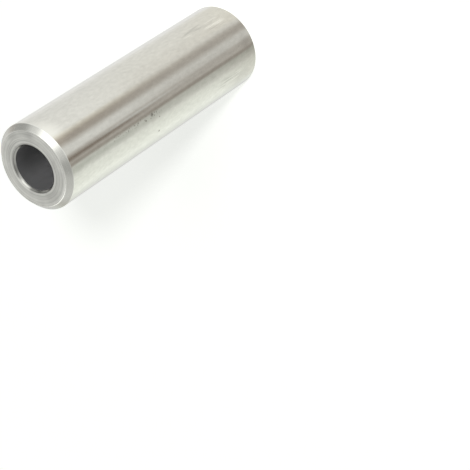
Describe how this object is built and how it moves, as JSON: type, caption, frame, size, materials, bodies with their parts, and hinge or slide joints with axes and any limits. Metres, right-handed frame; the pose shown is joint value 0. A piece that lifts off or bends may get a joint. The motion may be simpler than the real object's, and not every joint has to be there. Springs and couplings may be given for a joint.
{
  "type": "gudgeon pin",
  "caption": "Hollow ground steel gudgeon pin with a plain through bore, countersunk bore mouths and chamfered ends, which joins a piston to a connecting rod.",
  "frame": {"origin": "centre of the lower end face, on which the pin stands", "axes": "+Z along the pin's axis towards the other end; the pin is round, so X and Y are free"},
  "size_m": [0.02, 0.02, 0.068],
  "materials": {
    "ground_steel": "finely ground outside, turned end faces, dark unpolished bore"
  },
  "bodies": {
    "root": {"gudgeon_pin": "ground_steel"}
  },
  "joints": []
}
